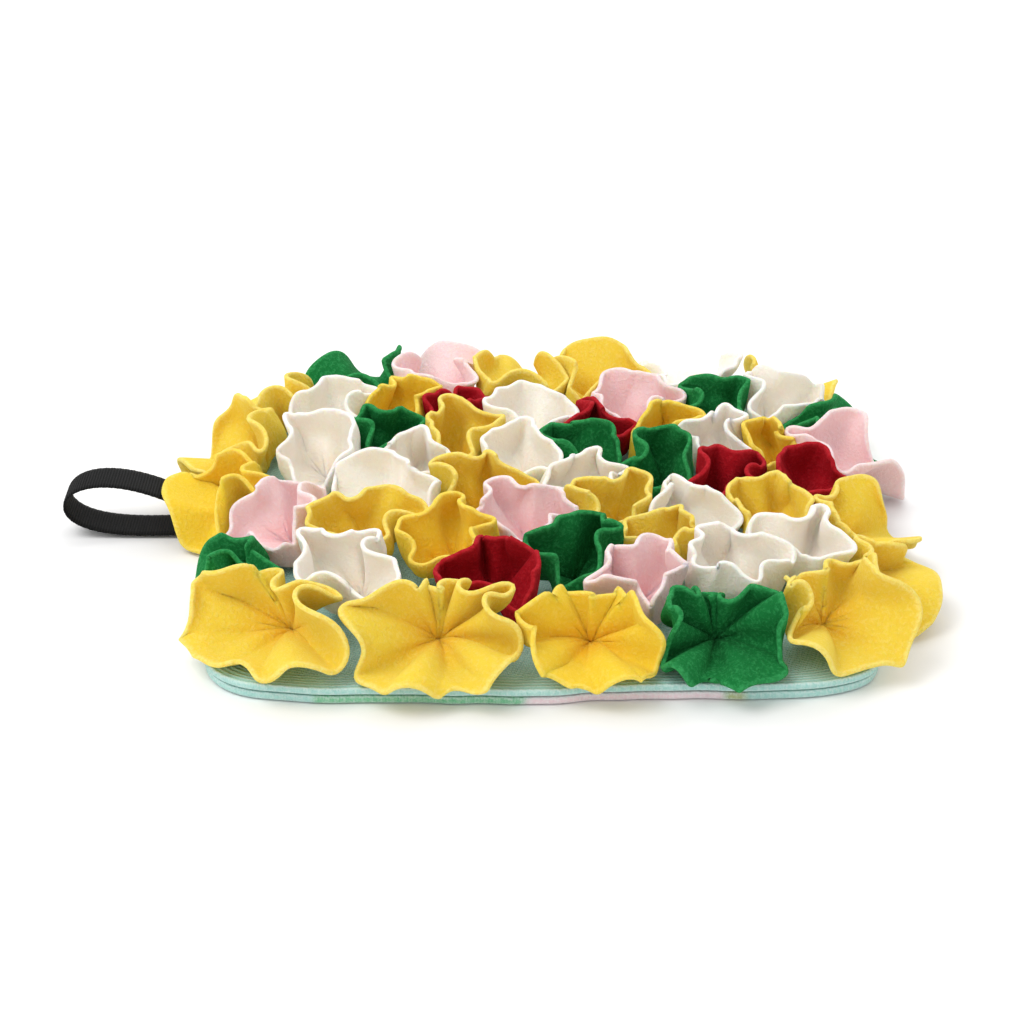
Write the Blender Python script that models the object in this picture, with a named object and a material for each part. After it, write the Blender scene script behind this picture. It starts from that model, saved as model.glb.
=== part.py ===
"""Snuffle mat: a square terry pad sewn over with gathered fleece rounds, and a webbing loop.

Millimetres in the tables, metres in the scene. +Z is up, the pad lies on Z = 0 with its
middle on the origin, and -Y is the front.
"""

import math

import bmesh
import bpy
import numpy as np

MM = 0.001

# Pad
PAD_HALF = 150.0
PAD_CORNER = 21.0
PAD_LOWER = 4.3
PAD_UPPER = 4.2
SEAM_GAP = 0.3
PAD_TOP = PAD_LOWER + SEAM_GAP + PAD_UPPER

# Loop
WEBBING_WIDTH = 20.0
WEBBING_THICK = 1.6
LOOP_Y = 9.0
LOOP_ROOT_X = -151.0
LOOP_ROOT_Z = 3.9
LOOP_REACH = 77.0
LOOP_RISE = 12.3
LOOP_SPREAD = 16.2
LOOP_TAIL = 13.0
POCKET_PLAY = 0.3

# Fleece
FLEECE_THICK = 2.2
FOOT_SHARE = 0.45
SEAT_GAP = 0.3
CELL_MARGIN = 2.0
TALLEST = 47.0
SWAY = 8.5
SWAY_LENGTH = 42.0
SWAY_FROM = 12.0
SWAY_FULL = 38.0
RULE_STEPS = 18
RIM_STEPS = 168
FULLNESS = 1.28
FOLD_GAIN = 0.8
HANGING_GAIN = 0.6
DEEPEST = math.radians(84.0)
VALLEY_SHORT = 0.18
BACK_SHORT = 0.52
OFF_CENTRE = 0.14
SHEAR = 0.6
OPENING = 0.8
CURL = 0.5
UNEVEN_DEPTH = 0.25
UNEVEN_SPACING = 0.7

COLOURS = {
    "yellow": (0.90, 0.58, 0.045),
    "amber": (0.90, 0.38, 0.02),
    "white": (0.88, 0.80, 0.70),
    "pink": (0.86, 0.50, 0.56),
    "green": (0.02, 0.26, 0.06),
    "red": (0.46, 0.008, 0.02),
    "aqua": (0.42, 0.66, 0.62),
    "mixed": (0.50, 0.42, 0.44),
    "black": (0.012, 0.012, 0.013),
}

# Each side of the pad: how far its middle bows out, and how far its line turns.
SIDES = {
    "front": dict(bow=2.0, skew=5.0),
    "right": dict(bow=-1.5, skew=1.0),
    "back": dict(bow=1.5, skew=-2.0),
    "left": dict(bow=-1.0, skew=-1.5),
}

# One row for each fleece round: colour, where it is sewn, cut radius, petals, how deep the
# rim folds (degrees), which way the widest petal points (degrees), how far the gather leans
# as it rises, and how much the rim hangs.
COLUMNS = ("colour", "x", "y", "radius", "petals", "depth", "turn", "lean_x", "lean_y", "hang")
ROUNDS = (
    # along the front edge, left to right
    ("yellow", -109, -108, 54, 6, 92, 300, -0.60, -0.75, 0.8),
    ("yellow", -46, -116, 56, 7, 94, 290, 0.00, -0.90, 0.8),
    ("amber", 20, -118, 49, 6, 94, 250, 0.00, -0.90, 0.8),
    ("green", 74, -116, 49, 7, 94, 270, 0.05, -0.90, 0.9),
    ("yellow", 122, -104, 52, 4, 84, 210, 0.30, -0.65, 0.7),
    # behind them
    ("green", -128, -76, 46, 3, 80, 200, -0.90, -0.20, 0.8),
    ("white", -80, -82, 52, 4, 90, None, -0.35, -0.45, 0.3),
    ("red", -22, -84, 43, 4, 94, None, -0.10, -0.50, 0.1),
    ("pink", 42, -88, 47, 4, 92, None, 0.05, -0.55, 0.3),
    ("white", 86, -80, 46, 3, 90, None, -0.05, -0.40, 0.1),
    ("white", 114, -62, 43, 3, 88, None, 0.15, -0.40, 0.0),
    ("yellow", 140, -80, 44, 3, 80, 80, 0.70, -0.25, 0.7),
    # front third
    ("pink", -116, -30, 43, 3, 84, None, -0.40, -0.35, 0.2),
    ("yellow", -80, -42, 45, 4, 92, None, -0.15, -0.40, 0.0),
    ("amber", -40, -56, 43, 4, 94, None, -0.05, -0.40, 0.0),
    ("green", 14, -64, 45, 3, 92, None, 0.10, -0.50, 0.0),
    ("pink", -6, -34, 42, 4, 92, None, 0.00, -0.45, 0.0),
    ("yellow", 56, -58, 37, 5, 98, None, 0.00, -0.35, 0.0),
    ("yellow", 32, -24, 42, 4, 92, None, 0.00, -0.45, 0.0),
    ("white", 66, -26, 41, 3, 90, None, 0.10, -0.40, 0.0),
    ("yellow", 136, -34, 44, 4, 86, 30, 0.45, -0.20, 0.4),
    # middle
    ("amber", -138, 2, 44, 3, 82, 90, -0.65, -0.10, 0.7),
    ("white", -70, -6, 43, 3, 88, None, -0.20, -0.45, 0.0),
    ("yellow", -30, 0, 41, 4, 92, None, 0.10, -0.40, 0.0),
    ("white", 17, 5, 41, 3, 90, None, 0.10, -0.40, 0.0),
    ("red", 88, 2, 39, 4, 96, None, -0.10, -0.35, 0.0),
    ("yellow", 106, -24, 39, 4, 96, None, 0.10, -0.30, 0.0),
    ("red", 126, 6, 37, 4, 94, None, 0.25, -0.20, 0.0),
    # back third
    ("yellow", -136, 50, 48, 3, 80, 70, -0.75, 0.05, 0.4),
    ("white", -104, 36, 46, 3, 84, None, -0.25, -0.35, 0.0),
    ("green", -78, 52, 39, 3, 90, None, 0.10, -0.30, 0.0),
    ("white", -60, 26, 43, 3, 84, None, 0.10, -0.40, 0.0),
    ("yellow", -38, 50, 45, 3, 86, None, -0.20, -0.35, 0.0),
    ("white", -8, 32, 41, 3, 88, None, -0.10, -0.35, 0.0),
    ("green", 20, 36, 39, 3, 94, None, 0.10, -0.30, 0.0),
    ("red", 26, 64, 35, 4, 94, None, 0.10, -0.20, 0.0),
    ("green", 60, 24, 42, 3, 92, None, 0.00, -0.40, 0.0),
    ("amber", 62, 58, 39, 3, 90, None, -0.10, -0.30, 0.0),
    ("white", 88, 46, 40, 3, 86, None, -0.10, -0.35, 0.0),
    ("amber", 116, 45, 35, 3, 84, None, -0.05, -0.30, 0.0),
    ("pink", 136, 38, 44, 3, 86, 20, 0.30, -0.15, 0.2),
    ("green", 140, 66, 40, 3, 84, 20, 0.50, -0.10, 0.5),
    # towards the back edge
    ("yellow", -130, 96, 39, 3, 82, 200, -0.55, 0.10, 0.4),
    ("white", -102, 85, 38, 3, 86, None, -0.20, -0.20, 0.0),
    ("amber", -68, 86, 38, 3, 84, None, 0.10, -0.25, 0.0),
    ("red", -45, 81, 32, 4, 92, None, 0.00, -0.15, 0.0),
    ("white", -4, 72, 41, 3, 86, None, -0.10, -0.25, 0.0),
    ("pink", 46, 88, 41, 3, 88, None, 0.10, -0.25, 0.0),
    ("green", 92, 84, 39, 3, 92, None, -0.10, -0.25, 0.0),
    ("white", 116, 92, 41, 3, 88, None, 0.15, -0.10, 0.0),
    ("green", -90, 124, 39, 3, 86, 190, -0.10, 0.25, 0.2),
    ("pink", -50, 120, 42, 3, 86, 10, 0.00, 0.20, 0.1),
    ("yellow", -14, 116, 43, 3, 86, 190, 0.00, 0.20, 0.1),
    ("yellow", 32, 118, 43, 3, 86, 0, 0.00, 0.20, 0.1),
    ("white", 78, 120, 42, 3, 86, 180, 0.05, 0.20, 0.1),
    ("yellow", 122, 122, 38, 3, 80, 90, 0.60, 0.25, 0.6),
)


def rounds():
    """The table as one array for each column."""
    table = {name: [row[i] for row in ROUNDS] for i, name in enumerate(COLUMNS)}
    table["seat"] = np.stack([table["x"], table["y"]], axis=1).astype(float)
    table["slope"] = np.stack([table["lean_x"], table["lean_y"]], axis=1).astype(float)
    return table


TABLE = rounds()


def pad_edge(angle):
    """Distance from the middle of the pad to its edge, in the direction of the angle."""
    c = np.cos(angle)
    s = np.sin(angle)
    half = PAD_HALF - PAD_CORNER
    # superellipse of the rounded square
    power = 9.0
    reach = PAD_HALF / (np.abs(c) ** power + np.abs(s) ** power) ** (1.0 / power)
    x = reach * c / half
    y = reach * s / half
    front = np.clip(-s, 0.0, 1.0) ** 4
    back = np.clip(s, 0.0, 1.0) ** 4
    right = np.clip(c, 0.0, 1.0) ** 4
    left = np.clip(-c, 0.0, 1.0) ** 4
    change = 0.0
    for weight, side, along in (
        (front, "front", x), (right, "right", y), (back, "back", -x), (left, "left", -y)
    ):
        spec = SIDES[side]
        change = change + weight * (spec["bow"] * (1.0 - along**2) - spec["skew"] * along)
    wave = 0.7 * np.sin(7.0 * angle + 0.6) + 0.5 * np.sin(12.0 * angle + 2.0)
    return reach + change + wave


def beyond_edge(x, y):
    """How far a point lies outside the pad's outline, negative inside."""
    return np.hypot(x, y) - pad_edge(np.arctan2(y, x))


def lowest(x, y):
    """The least height of a fleece's middle surface over the pad, its edge and the floor."""
    out = beyond_edge(x, y)
    over = np.clip((out + 10.0) / 8.0, 0.0, 1.0)
    past = np.clip((out - 4.0) / 4.0, 0.0, 1.0)
    on_pad = PAD_TOP + SEAT_GAP + 0.5 * FLEECE_THICK + 0.4
    near_edge = on_pad + 1.6 * over * over * (3.0 - 2.0 * over)
    by_floor = 1.6 + 0.5 * FLEECE_THICK
    fall = past * past * (3.0 - 2.0 * past)
    beside = near_edge + (by_floor - near_edge) * fall
    return np.maximum(beside, over_loop(x, y))


def over_loop(x, y):
    """The least height over the webbing loop, and zero beside it."""
    out = LOOP_ROOT_X - x
    share = np.clip(out / LOOP_REACH, 0.0, 1.0)
    top = LOOP_ROOT_Z + LOOP_RISE * (1.0 - (1.0 - share) ** 2) + LOOP_SPREAD * share**0.9
    clear = top + WEBBING_THICK + 0.5 * FLEECE_THICK + 3.0
    aside = np.abs(y - LOOP_Y) - 0.5 * WEBBING_WIDTH
    near = np.clip((9.0 - aside) / 4.0, 0.0, 1.0) * np.clip((out + 8.0) / 4.0, 0.0, 1.0)
    return clear * near


def site(index, height):
    """Where the middle of a round's own space lies at this height."""
    rise = np.clip(height - PAD_TOP, 0.0, None)
    seat = TABLE["seat"][index]
    slope = SHEAR * TABLE["slope"][index]
    return seat + slope * rise[..., None]


def meander(index, other, x, y, height, middle, ex, ey, apart):
    """How far the border between two rounds sways towards the other at this point.

    Low down the border is straight. Higher up it sways to and fro along its length, so that
    a petal of one round hangs over where the other draws back.
    """
    turned_round = 1.0 if index < other else -1.0
    first, second = min(index, other), max(index, other)
    pair = 0.61 * first + 1.37 * second
    length = SWAY_LENGTH * (1.0 + 0.2 * math.sin(5.0 * pair))
    across = turned_round * (ex * (y - middle[..., 1]) - ey * (x - middle[..., 0])) / apart
    share = np.clip((height - SWAY_FROM) / (SWAY_FULL - SWAY_FROM), 0.0, 1.0)
    sway = SWAY * share * np.sin(2.0 * math.pi * across / length + 9.0 * pair)
    return turned_round * sway


def room(index, x, y, height):
    """Distance from a round's middle to the border of its space, through the point."""
    own = site(index, height)
    dx = x - own[..., 0]
    dy = y - own[..., 1]
    away = np.hypot(dx, dy) + 1e-6
    inverse = np.zeros_like(away)
    own_size = (0.5 * TABLE["radius"][index]) ** 2
    for other in range(len(ROUNDS)):
        gap = TABLE["seat"][other] - TABLE["seat"][index]
        if other == index or math.hypot(gap[0], gap[1]) > 105.0:
            continue
        their = site(other, height)
        ex = their[..., 0] - own[..., 0]
        ey = their[..., 1] - own[..., 1]
        toward = (ex * dx + ey * dy) / away
        size = (0.5 * TABLE["radius"][other]) ** 2
        apart = np.hypot(ex, ey)
        sway = meander(index, other, x, y, height, 0.5 * (own + their), ex, ey, apart)
        reach = 0.5 * (ex * ex + ey * ey + own_size - size) + sway * apart
        border = reach / np.maximum(toward, 1e-3)
        inverse += np.where(toward > 1e-3, np.maximum(border, 1.0) ** -14.0, 0.0)
    border = np.maximum(inverse, 1e-40) ** (-1.0 / 14.0)
    return away, border


def eased(value, limit, start=0.8):
    """The value, bent smoothly so that it never passes the limit."""
    knee = start * limit
    spare = limit - knee
    return np.where(value < knee, value, knee + spare * np.tanh((value - knee) / spare))


def rim_angles(index):
    """Azimuth and polar angle of a gathered round's rim, seen from where it is sewn.

    A flat round keeps its lengths when it is gathered at its middle, so its rim is a closed
    curve of length 2 pi on a unit sphere. It runs to and fro as it goes round: that makes
    the petals, and the angle of the cone follows from the rim having to close.
    """
    petals = int(TABLE["petals"][index])
    depth = math.radians(TABLE["depth"][index])
    u = 2.0 * math.pi * np.arange(RIM_STEPS) / RIM_STEPS
    step = 2.0 * math.pi * FULLNESS / RIM_STEPS
    odd = 1.7 * index
    fold = petals * u + UNEVEN_SPACING * np.sin(u + odd) + 0.25 * np.sin(2.0 * u + 2.3 * odd)
    swing = depth * (1.0 + UNEVEN_DEPTH * np.sin(u + 2.1 * odd)) * np.cos(fold)
    swing = DEEPEST * np.tanh(swing / DEEPEST)
    for _ in range(4):
        swing -= np.sin(swing).mean()
    polar = np.cumsum(np.sin(swing)) * step
    polar -= polar.mean()
    least, most = 0.05, 1.6
    for _ in range(30):
        middle = 0.5 * (least + most)
        run = np.cos(swing) / np.sin(np.maximum(middle + polar, 0.10)) * step
        if run.sum() > 2.0 * math.pi:
            least = middle
        else:
            most = middle
    azimuth = np.cumsum(run) * (2.0 * math.pi / run.sum())
    gain = FOLD_GAIN + HANGING_GAIN * min(1.0, float(TABLE["hang"][index]))
    angle = middle + gain * polar
    angle = np.where(angle > 0.3, angle, 0.3 * np.exp((angle - 0.3) / 0.6))
    return azimuth + turned(index, azimuth, angle), angle, middle


def turned(index, azimuth, polar):
    """The turn in the table, or the one that points the petals at the widest spaces."""
    given = TABLE["turn"][index]
    if given is not None:
        return math.radians(given) - azimuth[np.argmax(polar)]
    height = np.full(len(azimuth), PAD_TOP + 28.0)
    middle = site(index, height)
    best, most = 0.0, -1.0
    for try_turn in np.arange(0.0, 2.0 * math.pi, math.pi / 24.0):
        x = middle[:, 0] + 20.0 * np.cos(azimuth + try_turn)
        y = middle[:, 1] + 20.0 * np.sin(azimuth + try_turn)
        border = np.minimum(room(index, x, y, height)[1], 40.0)
        filled = float((border * (polar - polar.mean())).sum())
        if filled > most:
            best, most = try_turn, filled
    return best


def surface(index):
    """Middle surface of one round: points by rim step and by step out from the sewn middle.

    Each step round the rim keeps its own direction in plan, so the folds never cross. The
    gather leans by opening wider on one side than on the other.
    """
    azimuth, polar, _ = rim_angles(index)
    radius = float(TABLE["radius"][index])
    lean_x, lean_y = TABLE["lean_x"][index], TABLE["lean_y"][index]
    hang = float(TABLE["hang"][index])
    crest = (polar - polar.min()) / (polar.max() - polar.min())
    lean = OPENING * math.atan(math.hypot(lean_x, lean_y))
    facing = np.cos(azimuth - math.atan2(lean_y, lean_x))
    tipped = polar + lean * facing
    tipped = np.where(tipped > 0.35, tipped, 0.35 * np.exp((tipped - 0.35) / 0.7))
    step = radius / RULE_STEPS * (1.0 - VALLEY_SHORT * (1.0 - crest))
    off = OFF_CENTRE * max(0.0, 1.0 - hang)
    step = step * (1.0 + off * np.sin(azimuth + 0.6 * math.sin(2.7 * index)))
    step = step * (1.0 - BACK_SHORT * min(1.0, hang) * np.clip(-facing, 0.0, 1.0))
    seat = TABLE["seat"][index]
    away = np.full(RIM_STEPS, 0.4)
    level = np.full(RIM_STEPS, PAD_TOP + SEAT_GAP + 0.5 * FLEECE_THICK + 0.6)
    across, along = np.cos(azimuth), np.sin(azimuth)
    start = np.stack([seat[0] + away * across, seat[1] + away * along, level], axis=1)
    rows = [start]
    for k in range(RULE_STEPS):
        s = (k + 0.5) / RULE_STEPS
        opening = 0.65 + 0.35 * min(1.0, s / 0.3)
        curl = CURL * (s - 0.45) * (crest - 0.4)
        droop = hang * s**1.5 * np.clip(facing, 0.0, 1.0) * np.sin(tipped)
        angle = tipped * opening + curl + droop
        rise = step * np.cos(angle)
        reach = away + step * np.sin(angle)
        tried = level + rise
        own = site(index, tried)
        x, y = own[:, 0] + reach * across, own[:, 1] + reach * along
        border = room(index, x, y, tried)[1]
        limit = np.maximum(border - CELL_MARGIN, 2.0)
        kept = np.maximum(eased(reach, limit), 0.8 * away)
        sideways = np.clip(kept - away, -0.98 * step, 0.98 * step)
        pushed = kept < 0.95 * reach
        tried = np.where(pushed, level + np.sqrt(step**2 - sideways**2), tried)
        own = site(index, tried)
        x, y = own[:, 0] + kept * across, own[:, 1] + kept * along
        under = lowest(x, y)
        lift = tried - under
        level = under + np.where(lift > 3.0, lift, 3.0 * np.exp((lift - 3.0) / 3.0))
        away = kept
        own = site(index, level)
        rows.append(
            np.stack([own[:, 0] + away * across, own[:, 1] + away * along, level], axis=1)
        )
    return np.stack(rows, axis=1)


def softened(grid, index, times):
    """Evens a surface out, then brings it back inside its own space."""
    for _ in range(times):
        round_about = 0.5 * (np.roll(grid, 1, axis=0) + np.roll(grid, -1, axis=0))
        grid = grid + 0.4 * (round_about - grid)
        inner = grid[:, 1:-1] + 0.3 * (0.5 * (grid[:, 2:] + grid[:, :-2]) - grid[:, 1:-1])
        grid = np.concatenate([grid[:, :1], inner, grid[:, -1:]], axis=1)
    grid[..., 2] = eased(grid[..., 2], TALLEST, 0.7)
    for _ in range(3):
        x, y, z = grid[..., 0], grid[..., 1], grid[..., 2]
        away, border = room(index, x, y, z)
        limit = np.maximum(border - CELL_MARGIN, 2.0)
        scale = np.minimum(1.0, limit / away)
        own = site(index, z)
        grid[..., :2] = own + (grid[..., :2] - own) * scale[..., None]
        grid[..., 2] = np.maximum(z, lowest(grid[..., 0], grid[..., 1]))
    return grid


def chosen_steps(rim, count):
    """Steps round the rim, closer together where it turns."""
    ahead = np.roll(rim, -1, axis=0) - rim
    length = np.linalg.norm(ahead, axis=1)
    unit = ahead / length[:, None]
    turning = np.linalg.norm(unit - np.roll(unit, 1, axis=0), axis=1)
    weight = 0.5 * length / length.mean() + 0.5 * turning / turning.mean()
    total = np.concatenate([[0.0], np.cumsum(weight)])
    want = np.arange(count) * total[-1] / count
    found = np.searchsorted(total, want)
    return np.unique(np.clip(found, 0, len(rim) - 1))


def normals(grid):
    """Unit normals of a cup's points, pointing into the cup."""
    along = np.roll(grid, -1, axis=0) - np.roll(grid, 1, axis=0)
    out = np.gradient(grid, axis=1)
    normal = np.cross(out, along)
    return normal / np.maximum(np.linalg.norm(normal, axis=2), 1e-9)[..., None]


def loft(bm, lower, upper, back=False):
    """Two triangles a step between closed rings; the way back has the same diagonals."""
    count = len(lower)
    for i in range(count):
        j = (i + 1) % count
        if back:
            bm.faces.new((lower[i], lower[j], upper[i]))
            bm.faces.new((lower[j], upper[j], upper[i]))
        else:
            bm.faces.new((lower[i], lower[j], upper[j]))
            bm.faces.new((lower[i], upper[j], upper[i]))


def add_ring(bm, points):
    return [bm.verts.new(tuple(float(c) * MM for c in p)) for p in points]


def material(name, colour, roughness):
    made = bpy.data.materials.new(name)
    made.use_nodes = True
    shader = made.node_tree.nodes["Principled BSDF"]
    shader.inputs["Base Color"].default_value = (*COLOURS[colour], 1.0)
    shader.inputs["Roughness"].default_value = roughness
    shader.inputs["Metallic"].default_value = 0.0
    made.diffuse_color = (*COLOURS[colour], 1.0)
    return made


def finish(bm, name, colour, roughness, collection):
    bmesh.ops.recalc_face_normals(bm, faces=bm.faces)
    mesh = bpy.data.meshes.new(name)
    bm.to_mesh(mesh)
    bm.free()
    mesh.materials.append(material(name, colour, roughness))
    made = bpy.data.objects.new(name, mesh)
    collection.objects.link(made)
    return made


def rounded(ring):
    """The ring drawn to the distance from its middle that its points have on average."""
    middle = ring.mean(axis=0)
    arm = ring - middle
    away = np.hypot(arm[:, 0], arm[:, 1])
    level = middle.copy()
    out = level + arm * (away.mean() / away)[:, None]
    out[:, 2] = ring[:, 2] + 0.5 * (middle[2] - ring[:, 2])
    return out


def build_round(index, collection):
    """A closed cup of fleece: sewn foot, outer face, rim and inner face."""
    grid = softened(surface(index), index, 3)
    edge = math.hypot(*TABLE["slope"][index]) > 0.52
    levels = (0.45, 0.72, 1.0) if edge else (0.5, 1.0)
    rounding = (0.5, 0.15, 0.0) if edge else (0.45, 0.0)
    count = (32 if TABLE["petals"][index] > 5 else 24) if edge else 27
    picked = chosen_steps(grid[:, -1], count)
    columns = [round(level * RULE_STEPS) for level in levels]
    coarse = grid[picked][:, columns]
    for k, share in enumerate(rounding):
        coarse[:, k] += share * (rounded(coarse[:, k]) - coarse[:, k])
    whole = np.concatenate([grid[picked][:, :1], coarse], axis=1)
    normal = normals(whole)[:, 1:]
    half = 0.5 * FLEECE_THICK
    outer = coarse - half * normal
    inner = coarse + half * normal
    seat = TABLE["seat"][index]
    foot_level = PAD_TOP + SEAT_GAP
    foot = np.full((len(picked), 3), foot_level)
    foot[:, :2] = seat + FOOT_SHARE * (outer[:, 0, :2] - seat)
    bm = bmesh.new()
    foot_ring = add_ring(bm, foot)
    foot_point = foot.mean(axis=0)
    foot_middle = bm.verts.new(tuple(float(c) * MM for c in foot_point))
    rings = [foot_ring]
    rings += [add_ring(bm, outer[:, k]) for k in range(len(columns))]
    rings += [add_ring(bm, inner[:, k]) for k in reversed(range(len(columns)))]
    for k, (lower, upper) in enumerate(zip(rings, rings[1:])):
        loft(bm, lower, upper, back=k > len(columns))
    pit = foot_point + 0.35 * (inner[:, 0].mean(axis=0) - foot_point)
    cup = bm.verts.new(tuple(float(c) * MM for c in pit))
    count = len(picked)
    for i in range(count):
        j = (i + 1) % count
        bm.faces.new((foot_ring[j], foot_ring[i], foot_middle))
        bm.faces.new((rings[-1][i], rings[-1][j], cup))
    colour = str(TABLE["colour"][index])
    return finish(bm, f"round_{index + 1:02d}_{colour}", colour, 0.95, collection)


def build_pad(name, bottom, top, inset, colour, collection):
    """One terry panel, its edge rounded over by the two outer rings."""
    count = 52
    angle = 2.0 * math.pi * np.arange(count) / count
    # closer together round the corners
    angle = angle - 0.12 * np.sin(4.0 * angle) * -1.0
    reach = pad_edge(angle)
    thick = top - bottom
    bm = bmesh.new()
    rings = []
    for back, level in (
        (1.2 + inset, bottom), (inset, bottom + 0.3 * thick),
        (inset, top - 0.3 * thick), (1.2 + inset, top),
    ):
        ring = np.stack(
            [(reach - back) * np.cos(angle), (reach - back) * np.sin(angle),
             np.full(count, level)],
            axis=1,
        )
        rings.append(add_ring(bm, ring))
    for lower, upper in zip(rings, rings[1:]):
        loft(bm, lower, upper)
    bm.faces.new(list(reversed(rings[0])))
    bm.faces.new(rings[-1])
    return finish(bm, name, colour, 0.95, collection)


def loop_height(out):
    """Height of the middle of the webbing's teardrop, this far from its root."""
    share = np.clip(out / LOOP_REACH, 0.0, 1.0)
    return LOOP_ROOT_Z + LOOP_RISE * (1.0 - (1.0 - share) ** 2)


def loop_line(count):
    """Middle line of the webbing in the X-Z plane, from the root over the top and back."""
    turn = np.linspace(0.0, 2.0 * math.pi, count)
    out = 0.5 * LOOP_REACH * (1.0 - np.cos(turn))
    spread = LOOP_SPREAD * np.sin(turn) * np.sin(0.5 * turn) ** 1.2
    apart = 0.5 * WEBBING_THICK * np.cos(0.5 * turn)
    return np.stack([LOOP_ROOT_X - out, loop_height(out) + spread + apart], axis=1)


def loop_sides(line):
    """The line moved by half the webbing's thickness, outwards and inwards."""
    ahead = np.gradient(line, axis=0)
    ahead[0] = ahead[-1] = (1.0, 0.0)
    ahead[0] *= -1.0
    ahead /= np.linalg.norm(ahead, axis=1)[:, None]
    side = np.stack([ahead[:, 1], -ahead[:, 0]], axis=1)
    half = 0.5 * WEBBING_THICK
    return line + half * side, line - half * side


def flat_outline(name, rings, half_width, at_y, collection):
    """An upright flat outline in the X-Z plane, with holes, as thick as the width along Y."""
    curve = bpy.data.curves.new(name, "CURVE")
    curve.dimensions = "2D"
    curve.fill_mode = "BOTH"
    curve.extrude = half_width * MM
    for ring in rings:
        spline = curve.splines.new("POLY")
        spline.points.add(len(ring) - 1)
        for point, (x, z) in zip(spline.points, ring):
            point.co = (float(x) * MM, float(z) * MM, 0.0, 1.0)
        spline.use_cyclic_u = True
    made = bpy.data.objects.new(name, curve)
    made.location = (0.0, at_y * MM, 0.0)
    made.rotation_euler = (math.radians(90.0), 0.0, 0.0)
    collection.objects.link(made)
    return made


def build_loop(collection):
    """The webbing loop, its two ends laid on each other in the seam of the pad."""
    line = loop_line(45)
    outer, inner = loop_sides(line)
    tail = LOOP_ROOT_X + LOOP_TAIL
    thick = WEBBING_THICK
    ends = [(tail, LOOP_ROOT_Z - thick), (tail, LOOP_ROOT_Z + thick)]
    outline = ends + [tuple(p) for p in outer]
    count = len(line)
    open_from = next(
        i for i in range(count // 2) if inner[i, 1] - inner[count - 1 - i, 1] > 0.8
    )
    hole = [tuple(p) for p in inner[open_from : count - open_from]]
    loop = flat_outline("loop", [outline, hole], 0.5 * WEBBING_WIDTH, LOOP_Y, collection)
    loop.data.materials.append(material("loop", "black", 0.7))
    return loop


def cut_seat(panel, collection):
    """Leaves room for the webbing's ends between the panels."""
    size = (
        LOOP_TAIL + 15.0 + POCKET_PLAY,
        WEBBING_WIDTH + 2.0 * POCKET_PLAY,
        2.0 * WEBBING_THICK + 2.0 * POCKET_PLAY,
    )
    bpy.ops.mesh.primitive_cube_add(size=1.0)
    cutter = bpy.context.object
    cutter.name = "seat_cutter_" + panel.name
    cutter.scale = [length * MM for length in size]
    right = LOOP_ROOT_X + LOOP_TAIL + POCKET_PLAY
    cutter.location = ((right - 0.5 * size[0]) * MM, LOOP_Y * MM, LOOP_ROOT_Z * MM)
    cutter.hide_render = True
    cutter.display_type = "WIRE"
    for holder in list(cutter.users_collection):
        holder.objects.unlink(cutter)
    collection.objects.link(cutter)
    cut = panel.modifiers.new("seat", "BOOLEAN")
    cut.operation = "DIFFERENCE"
    cut.object = cutter


def clear_scene():
    for old in list(bpy.data.objects):
        bpy.data.objects.remove(old, do_unlink=True)


def main():
    clear_scene()
    bpy.context.scene.unit_settings.scale_length = 1.0
    mat = bpy.data.collections.new("snuffle_mat")
    bpy.context.scene.collection.children.link(mat)
    cutters = bpy.data.collections.new("cutters")
    bpy.context.scene.collection.children.link(cutters)
    lower = build_pad("base_bottom", 0.0, PAD_LOWER, 1.0, "mixed", mat)
    upper = build_pad("base_top", PAD_LOWER + SEAM_GAP, PAD_TOP, 0.0, "aqua", mat)
    cut_seat(lower, cutters)
    cut_seat(upper, cutters)
    build_loop(mat)
    for index in range(len(ROUNDS)):
        build_round(index, mat)


main()
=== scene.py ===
"""Looks of the snuffle mat: fleece rounds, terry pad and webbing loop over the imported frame.

Shapes are worked out in millimetres and scaled to metres as each mesh is made. +Z is up, the
pad lies on Z = 0 with its middle on the origin, and -Y is the front.
"""

import math

import bmesh
import bpy
import numpy as np
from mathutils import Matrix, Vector


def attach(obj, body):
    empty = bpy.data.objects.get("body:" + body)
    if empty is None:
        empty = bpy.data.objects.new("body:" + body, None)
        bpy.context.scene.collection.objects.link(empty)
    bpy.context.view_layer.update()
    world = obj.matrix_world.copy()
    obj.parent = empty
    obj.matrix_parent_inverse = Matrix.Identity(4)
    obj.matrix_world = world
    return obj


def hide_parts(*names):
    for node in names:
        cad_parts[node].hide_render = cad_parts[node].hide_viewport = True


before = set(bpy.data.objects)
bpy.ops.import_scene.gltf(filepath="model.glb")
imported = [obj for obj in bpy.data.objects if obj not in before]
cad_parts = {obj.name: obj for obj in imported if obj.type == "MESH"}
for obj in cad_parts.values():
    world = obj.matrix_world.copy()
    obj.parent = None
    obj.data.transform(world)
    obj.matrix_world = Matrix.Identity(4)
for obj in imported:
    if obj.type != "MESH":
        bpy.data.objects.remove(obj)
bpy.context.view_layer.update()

MM = 0.001

# Pad
PAD_HALF = 150.0
PAD_CORNER = 21.0
PAD_LOWER = 4.3
PAD_UPPER = 4.2
SEAM_GAP = 0.3
PAD_TOP = PAD_LOWER + SEAM_GAP + PAD_UPPER

# Loop
WEBBING_WIDTH = 20.0
WEBBING_THICK = 1.6
LOOP_Y = 9.0
LOOP_ROOT_X = -151.0
LOOP_ROOT_Z = 3.9
LOOP_REACH = 77.0
LOOP_RISE = 12.3
LOOP_SPREAD = 16.2
LOOP_TAIL = 13.0

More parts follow.
